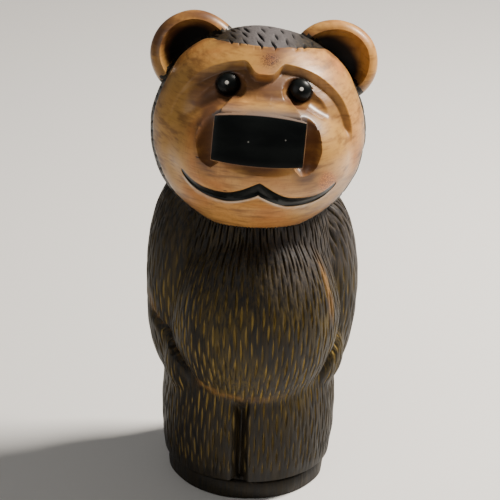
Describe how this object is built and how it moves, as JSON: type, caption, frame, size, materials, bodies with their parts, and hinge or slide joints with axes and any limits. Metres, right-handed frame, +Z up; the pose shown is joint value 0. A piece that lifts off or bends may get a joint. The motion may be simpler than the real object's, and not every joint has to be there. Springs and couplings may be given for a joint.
{
  "type": "chainsaw carved bear",
  "caption": "Standing garden bear carved from one length of log, with a round face, cupped ears, a flat nose, gouged fur and a low round plinth.",
  "frame": {"origin": "middle of the plinth's flat underside", "axes": "+Z up along the log, -Y the way the bear looks, +X to the right of someone who faces the bear"},
  "size_m": [0.2102, 0.1982, 0.4524],
  "materials": {
    "carved_wood": "stained and varnished, with a pale face and gloss black nose, eyes and mouth"
  },
  "bodies": {
    "root": {"carved_bear": "carved_wood"}
  },
  "joints": []
}
